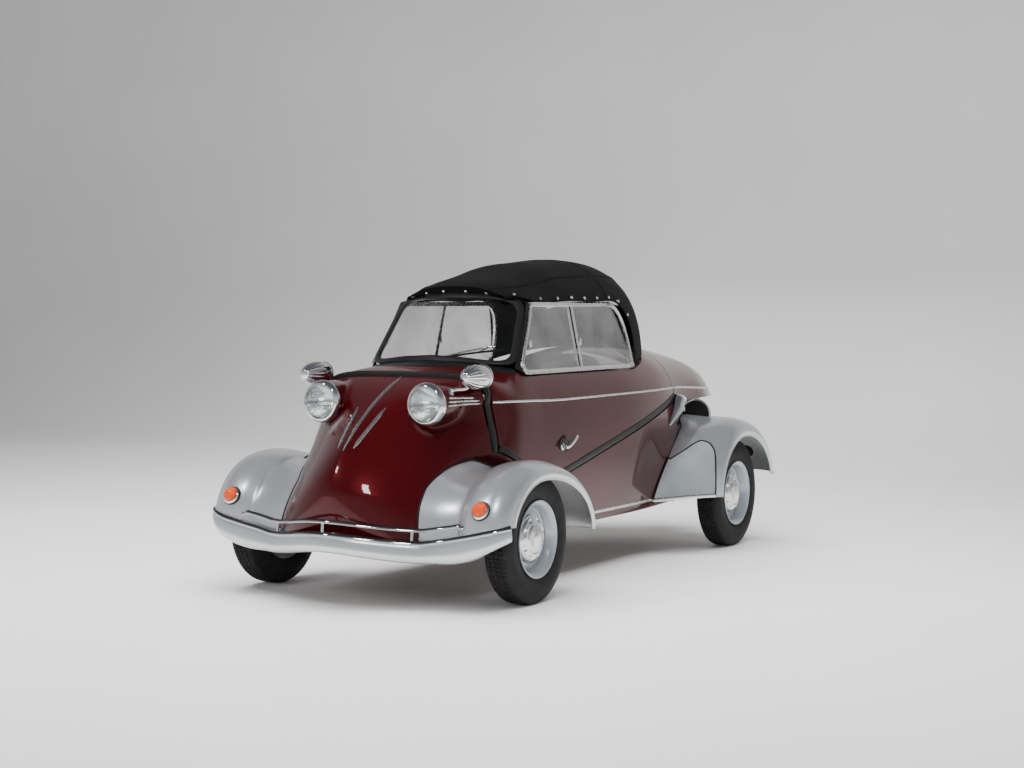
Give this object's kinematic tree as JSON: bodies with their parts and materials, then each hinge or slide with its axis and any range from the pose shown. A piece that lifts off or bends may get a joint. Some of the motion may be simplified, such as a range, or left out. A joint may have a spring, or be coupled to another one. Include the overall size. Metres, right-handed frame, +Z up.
{
  "type": "tandem two-seat bubble car",
  "caption": "Tandem two-seat bubble car with four wheels, a bull nose, cycle fenders, a side-hinged glazed lid with a soft top, and a rear engine.",
  "frame": {"origin": "on the floor, midway between the bumper's front and the tail's tip, on the car's centre plane", "axes": "-Y is the front of the car, +X its left side, +Z up"},
  "size_m": [1.302, 3, 1.258],
  "materials": {
    "body_paint": "candy burgundy metallic under gloss lacquer",
    "silver_paint": "silver metallic, gloss",
    "chrome": "polished plate",
    "bright_aluminium": "polished extrusion",
    "glass": "clear",
    "black_rubber": "satin black",
    "hood_cloth": "black woven hood cloth",
    "seat_vinyl": "dark grey vinyl",
    "black_trim": "black crackle paint",
    "bar_plastic": "ivory moulded grip",
    "amber_lens": "ribbed amber lens",
    "red_lens": "red lens",
    "tyre": "black, block tread",
    "chassis_steel": "black chassis paint",
    "engine_iron": "cast"
  },
  "bodies": {
    "body": {"nose_shell": "body_paint", "tub": "body_paint", "tail_shell": "body_paint", "cover_hinge": "body_paint", "body_hinges": "body_paint", "plate_bracket": "black_trim", "front_fender_left": "silver_paint", "front_fender_right": "silver_paint", "rear_fender_left": "silver_paint", "rear_fender_right": "silver_paint", "front_bumper": "silver_paint", "headlight_pods": "body_paint", "headlight_rims": "chrome", "headlight_lenses": "glass", "indicators": "amber_lens", "mirrors": "chrome", "tail_lamps": "red_lens", "front_seat": "seat_vinyl", "rear_seat": "seat_vinyl", "dashboard": "black_trim", "rear_bulkhead": "black_trim", "steering_column": "black_trim", "front_axle_arms": "chassis_steel", "rear_axle": "chassis_steel", "engine_block": "engine_iron", "exhaust": "chassis_steel"},
    "lid": {"lid_panel": "body_paint", "windscreen_frame": "black_rubber", "windscreen_glass": "glass", "side_window_frames": "bright_aluminium", "side_window_glass": "glass", "soft_top": "hood_cloth", "rear_window": "glass", "lid_seal": "black_rubber", "wiper": "chrome", "door_handle": "chrome", "lid_hinges": "body_paint"},
    "engine_cover": {"engine_cover": "body_paint", "cover_lugs": "body_paint"},
    "steering_bar": {"steering_bar": "bar_plastic"},
    "knuckle_left": {"knuckle_left": "chassis_steel"},
    "knuckle_right": {"knuckle_right": "chassis_steel"},
    "front_wheel_left": {"front_tyre_left": "tyre", "front_rim_left": "silver_paint"},
    "front_wheel_right": {"front_tyre_right": "tyre", "front_rim_right": "silver_paint"},
    "rear_wheel_left": {"rear_tyre_left": "tyre", "rear_rim_left": "silver_paint"},
    "rear_wheel_right": {"rear_tyre_right": "tyre", "rear_rim_right": "silver_paint"}
  },
  "joints": [
    {"name": "lid_hinge", "type": "hinge", "parent": "body", "child": "lid", "pos_m": [-0.40549, 0, 0.73], "axis": [0, -1, 0], "range_deg": [0, 72]},
    {"name": "engine_cover_hinge", "type": "hinge", "parent": "body", "child": "engine_cover", "pos_m": [0, 1.392, 0.634], "axis": [-1, 0, 0], "range_deg": [0, 50]},
    {"name": "steer_left", "type": "hinge", "parent": "body", "child": "knuckle_left", "pos_m": [0.47, -1, 0.2356], "axis": [0, 0, 1], "range_deg": [-30, 30]},
    {"name": "steer_right", "type": "hinge", "parent": "body", "child": "knuckle_right", "pos_m": [-0.47, -1, 0.2356], "axis": [0, 0, 1], "range_deg": [-30, 30]},
    {"name": "steering_bar_turn", "type": "hinge", "parent": "body", "child": "steering_bar", "pos_m": [0, -0.64, 0.69], "axis": [0, 0.5066, 0.8622], "range_deg": [-30, 30]},
    {"name": "front_wheel_left_spin", "type": "hinge", "parent": "knuckle_left", "child": "front_wheel_left", "pos_m": [0.555, -1, 0.2356], "axis": [1, 0, 0], "continuous": true},
    {"name": "front_wheel_right_spin", "type": "hinge", "parent": "knuckle_right", "child": "front_wheel_right", "pos_m": [-0.555, -1, 0.2356], "axis": [1, 0, 0], "continuous": true},
    {"name": "rear_wheel_left_spin", "type": "hinge", "parent": "body", "child": "rear_wheel_left", "pos_m": [0.52, 0.89, 0.2356], "axis": [1, 0, 0], "continuous": true},
    {"name": "rear_wheel_right_spin", "type": "hinge", "parent": "body", "child": "rear_wheel_right", "pos_m": [-0.52, 0.89, 0.2356], "axis": [1, 0, 0], "continuous": true}
  ],
  "couplings": [
    {"joint": "steer_right", "follows": "steer_left", "ratio": 1},
    {"joint": "steering_bar_turn", "follows": "steer_left", "ratio": 1}
  ]
}
